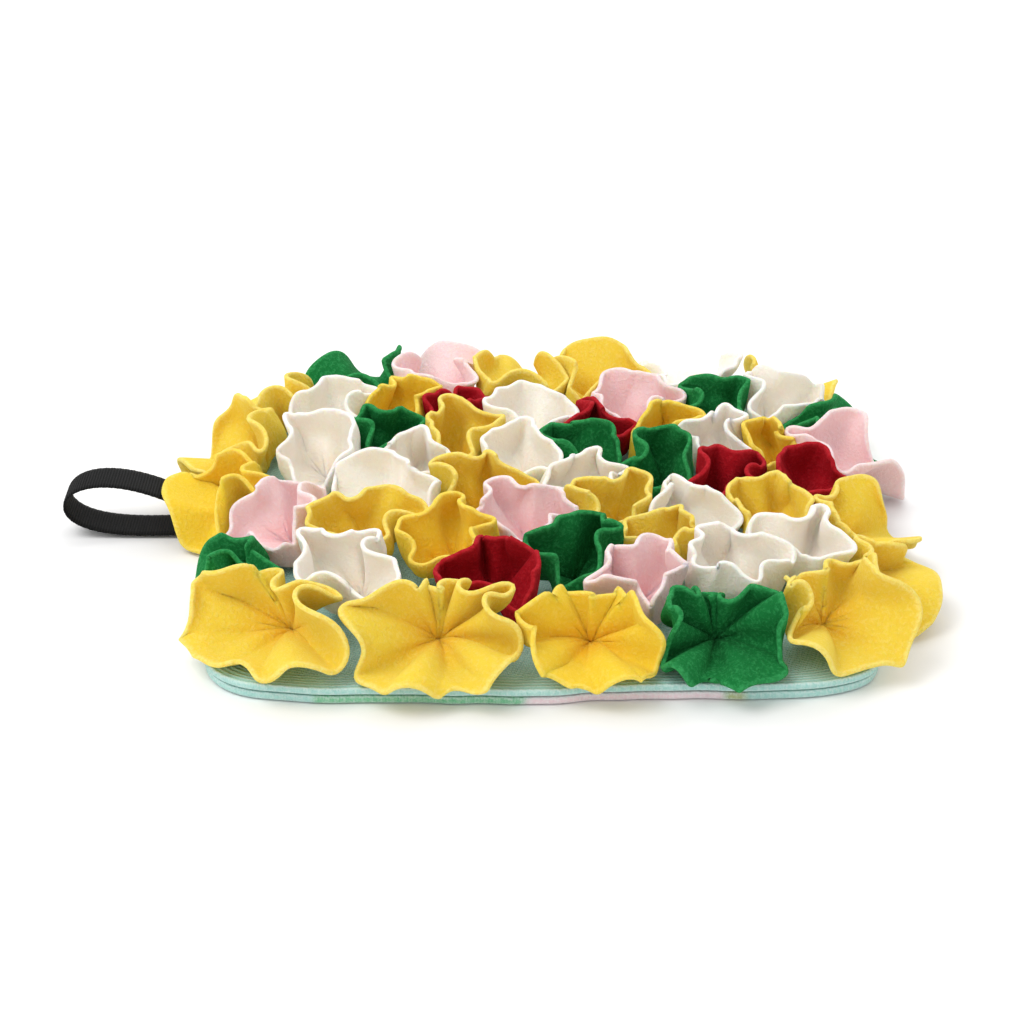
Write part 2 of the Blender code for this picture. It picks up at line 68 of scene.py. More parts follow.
# Fleece
FLEECE_THICK = 2.2
SEAT_GAP = 0.3
CELL_MARGIN = 1.4
TALLEST = 47.0
SWAY = 8.5
SWAY_LENGTH = 42.0
SWAY_FROM = 12.0
SWAY_FULL = 38.0
RULE_STEPS = 18
RIM_STEPS = 168
FULLNESS = 1.28
FOLD_GAIN = 0.8
HANGING_GAIN = 0.6
DEEPEST = math.radians(84.0)
VALLEY_SHORT = 0.18
BACK_SHORT = 0.52
OFF_CENTRE = 0.14
SHEAR = 0.6
OPENING = 0.8
CURL = 0.5
UNEVEN_DEPTH = 0.25
UNEVEN_SPACING = 0.7
NEIGHBOUR_REACH = 105.0
CORNER_POWER = 14.0

# Each side of the pad: how far its middle bows out, and how far its line turns.
SIDES = {
    "front": dict(bow=2.0, skew=5.0),
    "right": dict(bow=-1.5, skew=1.0),
    "back": dict(bow=1.5, skew=-2.0),
    "left": dict(bow=-1.0, skew=-1.5),
}

# One row for each fleece round: colour, where it is sewn, cut radius, petals, how deep the
# rim folds (degrees), which way the widest petal points (degrees), how far the gather leans
# as it rises, and how much the rim hangs.
COLUMNS = ("colour", "x", "y", "radius", "petals", "depth", "turn", "lean_x", "lean_y", "hang")
ROUNDS = (
    # along the front edge, left to right
    ("yellow", -109, -108, 54, 6, 92, 300, -0.60, -0.75, 0.8),
    ("yellow", -46, -116, 56, 7, 94, 290, 0.00, -0.90, 0.8),
    ("amber", 20, -118, 49, 6, 94, 250, 0.00, -0.90, 0.8),
    ("green", 74, -116, 49, 7, 94, 270, 0.05, -0.90, 0.9),
    ("yellow", 122, -104, 52, 4, 84, 210, 0.30, -0.65, 0.7),
    # behind them
    ("green", -128, -76, 46, 3, 80, 200, -0.90, -0.20, 0.8),
    ("white", -80, -82, 52, 4, 90, None, -0.35, -0.45, 0.3),
    ("red", -22, -84, 43, 4, 94, None, -0.10, -0.50, 0.1),
    ("pink", 42, -88, 47, 4, 92, None, 0.05, -0.55, 0.3),
    ("white", 86, -80, 46, 3, 90, None, -0.05, -0.40, 0.1),
    ("white", 114, -62, 43, 3, 88, None, 0.15, -0.40, 0.0),
    ("yellow", 140, -80, 44, 3, 80, 80, 0.70, -0.25, 0.7),
    # front third
    ("pink", -116, -30, 43, 3, 84, None, -0.40, -0.35, 0.2),
    ("yellow", -80, -42, 45, 4, 92, None, -0.15, -0.40, 0.0),
    ("amber", -40, -56, 43, 4, 94, None, -0.05, -0.40, 0.0),
    ("green", 14, -64, 45, 3, 92, None, 0.10, -0.50, 0.0),
    ("pink", -6, -34, 42, 4, 92, None, 0.00, -0.45, 0.0),
    ("yellow", 56, -58, 37, 5, 98, None, 0.00, -0.35, 0.0),
    ("yellow", 32, -24, 42, 4, 92, None, 0.00, -0.45, 0.0),
    ("white", 66, -26, 41, 3, 90, None, 0.10, -0.40, 0.0),
    ("yellow", 136, -34, 44, 4, 86, 30, 0.45, -0.20, 0.4),
    # middle
    ("amber", -138, 2, 44, 3, 82, 90, -0.65, -0.10, 0.7),
    ("white", -70, -6, 43, 3, 88, None, -0.20, -0.45, 0.0),
    ("yellow", -30, 0, 41, 4, 92, None, 0.10, -0.40, 0.0),
    ("white", 17, 5, 41, 3, 90, None, 0.10, -0.40, 0.0),
    ("red", 88, 2, 39, 4, 96, None, -0.10, -0.35, 0.0),
    ("yellow", 106, -24, 39, 4, 96, None, 0.10, -0.30, 0.0),
    ("red", 126, 6, 37, 4, 94, None, 0.25, -0.20, 0.0),
    # back third
    ("yellow", -136, 50, 48, 3, 80, 70, -0.75, 0.05, 0.4),
    ("white", -104, 36, 46, 3, 84, None, -0.25, -0.35, 0.0),
    ("green", -78, 52, 39, 3, 90, None, 0.10, -0.30, 0.0),
    ("white", -60, 26, 43, 3, 84, None, 0.10, -0.40, 0.0),
    ("yellow", -38, 50, 45, 3, 86, None, -0.20, -0.35, 0.0),
    ("white", -8, 32, 41, 3, 88, None, -0.10, -0.35, 0.0),
    ("green", 20, 36, 39, 3, 94, None, 0.10, -0.30, 0.0),
    ("red", 26, 64, 35, 4, 94, None, 0.10, -0.20, 0.0),
    ("green", 60, 24, 42, 3, 92, None, 0.00, -0.40, 0.0),
    ("amber", 62, 58, 39, 3, 90, None, -0.10, -0.30, 0.0),
    ("white", 88, 46, 40, 3, 86, None, -0.10, -0.35, 0.0),
    ("amber", 116, 45, 35, 3, 84, None, -0.05, -0.30, 0.0),
    ("pink", 136, 38, 44, 3, 86, 20, 0.30, -0.15, 0.2),
    ("green", 140, 66, 40, 3, 84, 20, 0.50, -0.10, 0.5),
    # towards the back edge
    ("yellow", -130, 96, 39, 3, 82, 200, -0.55, 0.10, 0.4),
    ("white", -102, 85, 38, 3, 86, None, -0.20, -0.20, 0.0),
    ("amber", -68, 86, 38, 3, 84, None, 0.10, -0.25, 0.0),
    ("red", -45, 81, 32, 4, 92, None, 0.00, -0.15, 0.0),
    ("white", -4, 72, 41, 3, 86, None, -0.10, -0.25, 0.0),
    ("pink", 46, 88, 41, 3, 88, None, 0.10, -0.25, 0.0),
    ("green", 92, 84, 39, 3, 92, None, -0.10, -0.25, 0.0),
    ("white", 116, 92, 41, 3, 88, None, 0.15, -0.10, 0.0),
    ("green", -90, 124, 39, 3, 86, 190, -0.10, 0.25, 0.2),
    ("pink", -50, 120, 42, 3, 86, 10, 0.00, 0.20, 0.1),
    ("yellow", -14, 116, 43, 3, 86, 190, 0.00, 0.20, 0.1),
    ("yellow", 32, 118, 43, 3, 86, 0, 0.00, 0.20, 0.1),
    ("white", 78, 120, 42, 3, 86, 180, 0.05, 0.20, 0.1),
    ("yellow", 122, 122, 38, 3, 80, 90, 0.60, 0.25, 0.6),
)


def rounds():
    """The table as one array for each column."""
    table = {name: [row[i] for row in ROUNDS] for i, name in enumerate(COLUMNS)}
    table["seat"] = np.stack([table["x"], table["y"]], axis=1).astype(float)
    table["slope"] = np.stack([table["lean_x"], table["lean_y"]], axis=1).astype(float)
    return table


TABLE = rounds()


def pad_edge(angle):
    """Distance from the middle of the pad to its edge, in the direction of the angle."""
    c = np.cos(angle)
    s = np.sin(angle)
    half = PAD_HALF - PAD_CORNER
    # superellipse of the rounded square
    power = 9.0
    reach = PAD_HALF / (np.abs(c) ** power + np.abs(s) ** power) ** (1.0 / power)
    x = reach * c / half
    y = reach * s / half
    front = np.clip(-s, 0.0, 1.0) ** 4
    back = np.clip(s, 0.0, 1.0) ** 4
    right = np.clip(c, 0.0, 1.0) ** 4
    left = np.clip(-c, 0.0, 1.0) ** 4
    change = 0.0
    for weight, side, along in (
        (front, "front", x), (right, "right", y), (back, "back", -x), (left, "left", -y)
    ):
        spec = SIDES[side]
        change = change + weight * (spec["bow"] * (1.0 - along**2) - spec["skew"] * along)
    wave = 0.7 * np.sin(7.0 * angle + 0.6) + 0.5 * np.sin(12.0 * angle + 2.0)
    return reach + change + wave


def beyond_edge(x, y):
    """How far a point lies outside the pad's outline, negative inside."""
    return np.hypot(x, y) - pad_edge(np.arctan2(y, x))


def lowest(x, y):
    """The least height of a fleece's middle surface over the pad, its edge and the floor."""
    out = beyond_edge(x, y)
    over = np.clip((out + 10.0) / 8.0, 0.0, 1.0)
    past = np.clip((out - 4.0) / 4.0, 0.0, 1.0)
    on_pad = PAD_TOP + SEAT_GAP + 0.5 * FLEECE_THICK + 0.4
    near_edge = on_pad + 1.6 * over * over * (3.0 - 2.0 * over)
    by_floor = 1.6 + 0.5 * FLEECE_THICK
    fall = past * past * (3.0 - 2.0 * past)
    beside = near_edge + (by_floor - near_edge) * fall
    return np.maximum(beside, over_loop(x, y))


def over_loop(x, y):
    """The least height over the webbing loop, and zero beside it."""
    out = LOOP_ROOT_X - x
    share = np.clip(out / LOOP_REACH, 0.0, 1.0)
    top = LOOP_ROOT_Z + LOOP_RISE * (1.0 - (1.0 - share) ** 2) + LOOP_SPREAD * share**0.9
    clear = top + WEBBING_THICK + 0.5 * FLEECE_THICK + 3.0
    aside = np.abs(y - LOOP_Y) - 0.5 * WEBBING_WIDTH
    near = np.clip((9.0 - aside) / 4.0, 0.0, 1.0) * np.clip((out + 8.0) / 4.0, 0.0, 1.0)
    return clear * near


def site(index, height):
    """Where the middle of a round's own space lies at this height."""
    rise = np.clip(height - PAD_TOP, 0.0, None)
    seat = TABLE["seat"][index]
    slope = SHEAR * TABLE["slope"][index]
    return seat + slope * rise[..., None]


def meander(index, other, x, y, height, middle, ex, ey, apart):
    """How far the border between two rounds sways towards the other at this point.

    Low down the border is straight. Higher up it sways to and fro along its length, so that
    a petal of one round hangs over where the other draws back.
    """
    turned_round = 1.0 if index < other else -1.0
    first, second = min(index, other), max(index, other)
    pair = 0.61 * first + 1.37 * second
    length = SWAY_LENGTH * (1.0 + 0.2 * math.sin(5.0 * pair))
    across = turned_round * (ex * (y - middle[..., 1]) - ey * (x - middle[..., 0])) / apart
    share = np.clip((height - SWAY_FROM) / (SWAY_FULL - SWAY_FROM), 0.0, 1.0)
    sway = SWAY * share * np.sin(2.0 * math.pi * across / length + 9.0 * pair)
    return turned_round * sway


def room(index, x, y, height):
    """Distance from a round's middle to the border of its space, through the point."""
    own = site(index, height)
    dx = x - own[..., 0]
    dy = y - own[..., 1]
    away = np.hypot(dx, dy) + 1e-6
    inverse = np.zeros_like(away)
    own_size = (0.5 * TABLE["radius"][index]) ** 2
    for other in range(len(ROUNDS)):
        gap = TABLE["seat"][other] - TABLE["seat"][index]
        if other == index or math.hypot(gap[0], gap[1]) > NEIGHBOUR_REACH:
            continue
        their = site(other, height)
        ex = their[..., 0] - own[..., 0]
        ey = their[..., 1] - own[..., 1]
        toward = (ex * dx + ey * dy) / away
        size = (0.5 * TABLE["radius"][other]) ** 2
        apart = np.hypot(ex, ey)
        sway = meander(index, other, x, y, height, 0.5 * (own + their), ex, ey, apart)
        reach = 0.5 * (ex * ex + ey * ey + own_size - size) + sway * apart
        border = reach / np.maximum(toward, 1e-3)
        inverse += np.where(toward > 1e-3, np.maximum(border, 1.0) ** -CORNER_POWER, 0.0)
    border = np.maximum(inverse, 1e-40) ** (-1.0 / CORNER_POWER)
    return away, border


def eased(value, limit, start=0.8):
    """The value, bent smoothly so that it never passes the limit."""
    knee = start * limit
    spare = limit - knee
    return np.where(value < knee, value, knee + spare * np.tanh((value - knee) / spare))


def rim_angles(index):
    """Azimuth and polar angle of a gathered round's rim, seen from where it is sewn.

    A flat round keeps its lengths when it is gathered at its middle, so its rim is a closed
    curve of length 2 pi on a unit sphere. It runs to and fro as it goes round: that makes
    the petals, and the angle of the cone follows from the rim having to close.
    """
    petals = int(TABLE["petals"][index])
    depth = math.radians(TABLE["depth"][index])
    u = 2.0 * math.pi * np.arange(RIM_STEPS) / RIM_STEPS
    step = 2.0 * math.pi * FULLNESS / RIM_STEPS
    odd = 1.7 * index
    fold = petals * u + UNEVEN_SPACING * np.sin(u + odd) + 0.25 * np.sin(2.0 * u + 2.3 * odd)
    swing = depth * (1.0 + UNEVEN_DEPTH * np.sin(u + 2.1 * odd)) * np.cos(fold)
    swing = DEEPEST * np.tanh(swing / DEEPEST)
    for _ in range(4):
        swing -= np.sin(swing).mean()
    polar = np.cumsum(np.sin(swing)) * step
    polar -= polar.mean()
    least, most = 0.05, 1.6
    for _ in range(30):
        middle = 0.5 * (least + most)
        run = np.cos(swing) / np.sin(np.maximum(middle + polar, 0.10)) * step
        if run.sum() > 2.0 * math.pi:
            least = middle
        else:
            most = middle
    azimuth = np.cumsum(run) * (2.0 * math.pi / run.sum())
    gain = FOLD_GAIN + HANGING_GAIN * min(1.0, float(TABLE["hang"][index]))
    angle = middle + gain * polar
    angle = np.where(angle > 0.3, angle, 0.3 * np.exp((angle - 0.3) / 0.6))
    return azimuth + turned(index, azimuth, angle), angle, middle


def turned(index, azimuth, polar):
    """The turn in the table, or the one that points the petals at the widest spaces."""
    given = TABLE["turn"][index]
    if given is not None:
        return math.radians(given) - azimuth[np.argmax(polar)]
    height = np.full(len(azimuth), PAD_TOP + 28.0)
    middle = site(index, height)
    best, most = 0.0, -1.0
    for try_turn in np.arange(0.0, 2.0 * math.pi, math.pi / 24.0):
        x = middle[:, 0] + 20.0 * np.cos(azimuth + try_turn)
        y = middle[:, 1] + 20.0 * np.sin(azimuth + try_turn)
        border = np.minimum(room(index, x, y, height)[1], 40.0)
        filled = float((border * (polar - polar.mean())).sum())
        if filled > most:
            best, most = try_turn, filled
    return best


def surface(index):
    """Middle surface of one round: points by rim step and by step out from the sewn middle.

    Each step round the rim keeps its own direction in plan, which holds its rulings apart.
    Evening out and the cloth's thickness can still bring tight folds together. The gather
    leans by opening wider on one side than on the other.
    """
    azimuth, polar, _ = rim_angles(index)
    radius = float(TABLE["radius"][index])
    lean_x, lean_y = TABLE["lean_x"][index], TABLE["lean_y"][index]
    hang = float(TABLE["hang"][index])
    crest = (polar - polar.min()) / (polar.max() - polar.min())
    lean = OPENING * math.atan(math.hypot(lean_x, lean_y))
    facing = np.cos(azimuth - math.atan2(lean_y, lean_x))
    tipped = polar + lean * facing
    tipped = np.where(tipped > 0.35, tipped, 0.35 * np.exp((tipped - 0.35) / 0.7))
    step = radius / RULE_STEPS * (1.0 - VALLEY_SHORT * (1.0 - crest))
    off = OFF_CENTRE * max(0.0, 1.0 - hang)
    step = step * (1.0 + off * np.sin(azimuth + 0.6 * math.sin(2.7 * index)))
    step = step * (1.0 - BACK_SHORT * min(1.0, hang) * np.clip(-facing, 0.0, 1.0))
    seat = TABLE["seat"][index]
    away = np.full(RIM_STEPS, 0.4)
    level = np.full(RIM_STEPS, PAD_TOP + SEAT_GAP + 0.5 * FLEECE_THICK + 0.6)
    across, along = np.cos(azimuth), np.sin(azimuth)
    start = np.stack([seat[0] + away * across, seat[1] + away * along, level], axis=1)
    rows = [start]
    for k in range(RULE_STEPS):
        s = (k + 0.5) / RULE_STEPS
        opening = 0.65 + 0.35 * min(1.0, s / 0.3)
        curl = CURL * (s - 0.45) * (crest - 0.4)
        droop = hang * s**1.5 * np.clip(facing, 0.0, 1.0) * np.sin(tipped)
        angle = tipped * opening + curl + droop
        rise = step * np.cos(angle)
        reach = away + step * np.sin(angle)
        tried = level + rise
        own = site(index, tried)
        x, y = own[:, 0] + reach * across, own[:, 1] + reach * along
        border = room(index, x, y, tried)[1]
        limit = np.maximum(border - CELL_MARGIN, 2.0)
        kept = np.maximum(eased(reach, limit), 0.8 * away)
        sideways = np.clip(kept - away, -0.98 * step, 0.98 * step)
        pushed = kept < 0.95 * reach
        tried = np.where(pushed, level + np.sqrt(step**2 - sideways**2), tried)
        own = site(index, tried)
        x, y = own[:, 0] + kept * across, own[:, 1] + kept * along
        under = lowest(x, y)
        lift = tried - under
        level = under + np.where(lift > 3.0, lift, 3.0 * np.exp((lift - 3.0) / 3.0))
        away = kept
        own = site(index, level)
        rows.append(
            np.stack([own[:, 0] + away * across, own[:, 1] + away * along, level], axis=1)
        )
    return np.stack(rows, axis=1)


def inside(grid, index):
    """Brings a surface back inside its own space, above what it lies on."""
    for _ in range(3):
        x, y, z = grid[..., 0], grid[..., 1], grid[..., 2]
        away, border = room(index, x, y, z)
        scale = np.minimum(1.0, np.maximum(border - CELL_MARGIN, 2.0) / away)
        own = site(index, z)
        grid[..., :2] = own + (grid[..., :2] - own) * scale[..., None]
        grid[..., 2] = np.maximum(z, lowest(grid[..., 0], grid[..., 1]))
    return grid


def evened(grid, times, share=0.5):
    """The surface with its small unevenness round the rim and along the rulings taken out."""
    for _ in range(times):
        round_about = 0.5 * (np.roll(grid, 1, axis=0) + np.roll(grid, -1, axis=0))
        grid = grid + share * (round_about - grid)
        inner = grid[:, 1:-1] + 0.3 * (0.5 * (grid[:, 2:] + grid[:, :-2]) - grid[:, 1:-1])
        grid = np.concatenate([grid[:, :1], inner, grid[:, -1:]], axis=1)
    return grid


def softened(grid, index, times):
    """Evens a surface out, then brings it back inside its own space."""
    grid = evened(grid, times, 0.4)
    grid[..., 2] = eased(grid[..., 2], TALLEST, 0.7)
    return inside(grid, index)


def normals(grid):
    """Unit normals of a cup's points, pointing into the cup."""
    along = np.roll(grid, -1, axis=0) - np.roll(grid, 1, axis=0)
    out = np.gradient(grid, axis=1)
    normal = np.cross(out, along)
    return normal / np.maximum(np.linalg.norm(normal, axis=2), 1e-9)[..., None]


def loop_height(out):
    """Height of the middle of the webbing's teardrop, this far from its root."""
    share = np.clip(out / LOOP_REACH, 0.0, 1.0)
    return LOOP_ROOT_Z + LOOP_RISE * (1.0 - (1.0 - share) ** 2)


def loop_line(count):
    """Middle line of the webbing in the X-Z plane, from the root over the top and back."""
    turn = np.linspace(0.0, 2.0 * math.pi, count)
    out = 0.5 * LOOP_REACH * (1.0 - np.cos(turn))
    spread = LOOP_SPREAD * np.sin(turn) * np.sin(0.5 * turn) ** 1.2
    apart = 0.5 * WEBBING_THICK * np.cos(0.5 * turn)
    return np.stack([LOOP_ROOT_X - out, loop_height(out) + spread + apart], axis=1)


# ---------------------------------------------------------------- materials


class Nodes:
    """Short calls to add shader nodes to one material."""

    def __init__(self, name):
        self.material = bpy.data.materials.new(name)
        self.material.use_nodes = True
        self.tree = self.material.node_tree
        self.shader = self.tree.nodes["Principled BSDF"]

    def add(self, kind, inputs=None, **settings):
        node = self.tree.nodes.new("ShaderNode" + kind)
        for key, value in settings.items():
            setattr(node, key, value)
        for key, value in (inputs or {}).items():
            self.put(node.inputs[key], value)
        return node

    def put(self, socket, value):
        if isinstance(value, bpy.types.NodeSocket):
            self.tree.links.new(value, socket)
        else:
            socket.default_value = value

    def place(self):
        return self.add("TexCoord").outputs["Object"]

    def noise(self, scale, detail=2.0, roughness=0.5, distortion=0.0, vector=None):
        node = self.add(
            "TexNoise",
            {"Vector": vector or self.place(), "Scale": scale, "Detail": detail,
             "Roughness": roughness, "Distortion": distortion},
        )
        return node.outputs["Fac"]

    def attribute(self, name):
        return self.add("Attribute", attribute_name=name).outputs["Fac"]

    def maths(self, kind, a, b=0.0, c=0.0):
        node = self.add("Math", operation=kind)
        for socket, value in zip(node.inputs, (a, b, c)):
            self.put(socket, value)
        return node.outputs[0]

    def spread(self, value, low, high, to_low=0.0, to_high=1.0, smooth=True):
        kind = "SMOOTHSTEP" if smooth else "LINEAR"
        node = self.add(
            "MapRange",
            {"Value": value, "From Min": low, "From Max": high, "To Min": to_low,
             "To Max": to_high},
            interpolation_type=kind,
        )
        return node.outputs["Result"]

    def mix(self, share, a, b, kind="MIX"):
        node = self.add("Mix", data_type="RGBA", blend_type=kind)
        self.put(node.inputs["Factor"], share)
        self.put(node.inputs["A"], a)
        self.put(node.inputs["B"], b)
        return node.outputs["Result"]

    def bump(self, height, strength, distance, under=None):
        node = self.add("Bump", {"Height": height, "Strength": strength, "Distance": distance})
        if under is not None:
            self.put(node.inputs["Normal"], under)
        return node.outputs["Normal"]


def shade(colour, factor):
    return (*[min(1.0, c * factor) for c in colour], 1.0)


# One row for each fleece: base colour, colour painted deep in the cup by the sewn middle as
# shade and bounce light, colour of the worn nap and of the highlight painted on the rim, how
# strongly the nap shows, how much light passes through, and how strong the sheen is.
FLEECES = {
    "yellow": dict(base=(0.85, 0.62, 0.055), deep=(0.85, 0.45, 0.010), nap=(0.92, 0.76, 0.24),
                   mottle=0.30, glow=0.35, sheen=0.30),
    "amber": dict(base=(0.87, 0.60, 0.035), deep=(0.86, 0.40, 0.005), nap=(0.92, 0.72, 0.16),
                  mottle=0.30, glow=0.35, sheen=0.30),
    "white": dict(base=(0.97, 0.90, 0.81), deep=(0.97, 0.80, 0.64), nap=(0.98, 0.95, 0.90),
                  mottle=0.35, glow=0.50, sheen=0.35),
    "pink": dict(base=(0.94, 0.68, 0.68), deep=(0.91, 0.44, 0.45), nap=(0.96, 0.82, 0.82),
                 mottle=0.35, glow=0.40, sheen=0.30),
    "green": dict(base=(0.006, 0.165, 0.035), deep=(0.001, 0.06, 0.010), nap=(0.04, 0.33, 0.10),
                  mottle=0.50, glow=0.08, sheen=0.12),
    "red": dict(base=(0.36, 0.003, 0.010), deep=(0.17, 0.001, 0.002), nap=(0.50, 0.02, 0.03),
                mottle=0.45, glow=0.10, sheen=0.10),
}


def fleece(name):
    """Napped fleece: pilly mottling, soft bump, sheen, painted shade by the pinch, painted rim
    highlight.
    """
    look = FLEECES[name]
    n = Nodes("fleece_" + name)
    place = n.place()
    along = n.attribute("along")
    clumps = n.noise(620.0, 3.0, 0.6, 0.4, place)
    fine = n.noise(1700.0, 2.0, 0.6, 0.0, place)
    broad = n.noise(45.0, 2.0, 0.5, 0.0, place)
    base = n.mix(n.spread(broad, 0.35, 0.65, 0.0, 0.35), (*look["base"], 1.0),
                 shade(look["base"], 0.90))
    # Painted shade and bounce light: the colour deepens towards the sewn middle, inside the cup.
    pinch_shade_share = n.spread(along, 0.05, 0.62, 0.65, 0.0)
    colour = n.mix(pinch_shade_share, base, (*look["deep"], 1.0))
    pills = n.spread(n.maths("ADD", n.maths("MULTIPLY", clumps, 0.7),
                             n.maths("MULTIPLY", fine, 0.3)), 0.47, 0.62)
    colour = n.mix(n.maths("MULTIPLY", pills, look["mottle"]), colour, (*look["nap"], 1.0))
    # Painted highlight: the fuzzy cut edge turns, in patches, to the lighter nap colour.
    rim_highlight_patches = n.spread(clumps, 0.35, 0.65, 0.25, 0.70)
    rim = n.maths("MULTIPLY", n.spread(along, 0.955, 1.0), rim_highlight_patches)
    colour = n.mix(rim, colour, (*look["nap"], 1.0))
    n.put(n.shader.inputs["Base Color"], colour)
    n.put(n.shader.inputs["Roughness"], 0.92)
    n.put(n.shader.inputs["Specular IOR Level"], 0.15)
    n.put(n.shader.inputs["Sheen Weight"], look["sheen"])
    n.put(n.shader.inputs["Sheen Roughness"], 0.45)
    n.put(n.shader.inputs["Sheen Tint"], (*look["nap"], 1.0))
    n.put(n.shader.inputs["Subsurface Weight"], look["glow"])
    n.put(n.shader.inputs["Subsurface Radius"], (1.0, 0.6, 0.35))
    n.put(n.shader.inputs["Subsurface Scale"], 0.0035)
    soft = n.bump(clumps, 0.75, 0.0011)
    nap = n.bump(fine, 0.55, 0.0006, soft)
    n.put(n.shader.inputs["Normal"], nap)
    return n.material


def terry(name, aqua, zones):
    """Fine knit terry: courses that run on the slant, looped pile, and ribs by the edge."""
    n = Nodes(name)
    place = n.place()
    split = n.add("SeparateXYZ", {"Vector": place})
    x, y, _ = split.outputs
    edge = n.attribute("edge")
    wobble = n.maths("MULTIPLY", n.noise(60.0, 2.0, 0.5, 0.0, place), 0.004)
    slant = n.maths("ADD", n.maths("MULTIPLY", x, 0.45), n.maths("ADD", y, wobble))
    course = n.maths("SINE", n.maths("MULTIPLY", slant, 2.0 * math.pi / 0.0019))
    wale = n.maths("SINE", n.maths("MULTIPLY", n.maths("SUBTRACT", x, n.maths("MULTIPLY", y, 0.3)),
                                   2.0 * math.pi / 0.0013))
    knit = n.maths("ADD", n.maths("MULTIPLY", course, 0.35), n.maths("MULTIPLY", wale, 0.18))
    ribs = n.maths("SINE", n.maths("MULTIPLY", edge, 2.0 * math.pi / 0.0024))
    by_rim = n.spread(edge, 0.0145, 0.0110)
    lines = n.maths("ADD", n.maths("MULTIPLY", by_rim, n.maths("MULTIPLY", ribs, 0.5)),
                    n.maths("MULTIPLY", knit, n.spread(edge, 0.008, 0.014, 0.35, 1.0)))
    loops = n.noise(1100.0, 3.0, 0.7, 0.3, place)
    colour = (*aqua, 1.0)
    for left, right, tint in zones:
        away = n.maths("ADD", x, n.maths("MULTIPLY", n.noise(38.0, 2.0, 0.5, 0.0, place), 0.02))
        zone = n.maths("MULTIPLY", n.spread(away, left + 0.008, left + 0.014),
                       n.spread(away, right + 0.008, right + 0.014, 1.0, 0.0))
        colour = n.mix(zone, colour, (*tint, 1.0))
    lighter = n.mix(0.55, colour, (0.86, 0.93, 0.91, 1.0))
    colour = n.mix(n.spread(n.maths("ADD", n.maths("MULTIPLY", lines, 0.5), loops), 0.35, 0.95),
                   colour, lighter)
    darker = n.mix(0.5, colour, (0.10, 0.25, 0.22, 1.0), "MULTIPLY")
    colour = n.mix(n.spread(loops, 0.36, 0.22), colour, darker)
    n.put(n.shader.inputs["Base Color"], colour)
    n.put(n.shader.inputs["Roughness"], 0.95)
    n.put(n.shader.inputs["Specular IOR Level"], 0.1)
    n.put(n.shader.inputs["Sheen Weight"], 0.2)
    n.put(n.shader.inputs["Sheen Roughness"], 0.6)
    first = n.bump(lines, 0.8, 0.0006)
    n.put(n.shader.inputs["Normal"], n.bump(loops, 0.7, 0.0007, first))
    return n.material


def webbing():
    """Black grosgrain: ribs across, a tight edge and a dull thread sheen."""
    n = Nodes("webbing_black")
    place = n.place()
    across = n.attribute("across")
    run = n.attribute("run")
    ribs = n.maths("SINE", n.maths("MULTIPLY", run, 2.0 * math.pi / WEBBING_RIB))
    threads = n.maths("SINE", n.maths("MULTIPLY", across, 2.0 * math.pi / 0.0007))
    fuzz = n.noise(2600.0, 2.0, 0.6, 0.0, place)
    tone = n.spread(n.maths("ADD", n.maths("MULTIPLY", ribs, 0.4), fuzz), 0.2, 0.9)
    n.put(n.shader.inputs["Base Color"],
          n.mix(tone, (0.002, 0.002, 0.002, 1.0), (0.014, 0.014, 0.014, 1.0)))
    n.put(n.shader.inputs["Roughness"], 0.7)
    n.put(n.shader.inputs["Specular IOR Level"], 0.12)
    low = n.bump(threads, 0.35, 0.0002)
    n.put(n.shader.inputs["Normal"], n.bump(fuzz, 0.3, 0.0002, low))
    return n.material


# ---------------------------------------------------------------- pieces

RIM_ROUND = ((0.00, 1.0), (0.55, 0.88), (0.95, 0.50))
RIPPLE = 3.2
HANGING_RIPPLE = 2.0


def crimped(grid, index):
    """The round's surface with its finer waves: gathers by the middle, ripples by the rim."""
    rows = grid.shape[1]
    along = np.linspace(0.0, 1.0, rows)[None, :]
    rim = np.linalg.norm(np.roll(grid[:, -1], -1, axis=0) - grid[:, -1], axis=1)
    u = (2.0 * math.pi * np.cumsum(rim) / rim.sum())[:, None]
    odd = 2.39 * index
    hang = min(1.0, float(TABLE["hang"][index]))
    normal = evened(normals(grid), 6)
    normal /= np.maximum(np.linalg.norm(normal, axis=2), 1e-6)[..., None]
    petals = int(TABLE["petals"][index])
    waves = petals if petals > 4 else petals + 1
    turn = waves * u + 0.9 * np.sin(u + 1.9 * odd) + 1.2 * along
    ripple = (RIPPLE + HANGING_RIPPLE * hang) * np.sin(turn) * along**1.6
    sway = 0.5 * np.sin(3.0 * u + 4.0 * along + 0.7 * odd) * np.sin(math.pi * along)
    out = evened(inside(grid + (ripple + sway)[..., None] * normal, index), 5)
    gathers = 0.4 * np.sin(13.0 * u + odd) + 0.25 * np.sin(22.0 * u + 1.3 * odd)
    gathers = gathers * np.clip(along / 0.15, 0.0, 1.0) * np.clip(1.0 - along / 0.5, 0.0, 1.0)
    out = out + gathers[..., None] * normal
    trim = 0.5 * np.sin(5.0 * u[:, 0] + odd) + 0.3 * np.sin(11.0 * u[:, 0] + 2.0 * odd)
    last = out[:, -1] - out[:, -2]
    out[:, -1] += last / np.linalg.norm(last, axis=1)[:, None] * trim[:, None]
    return out


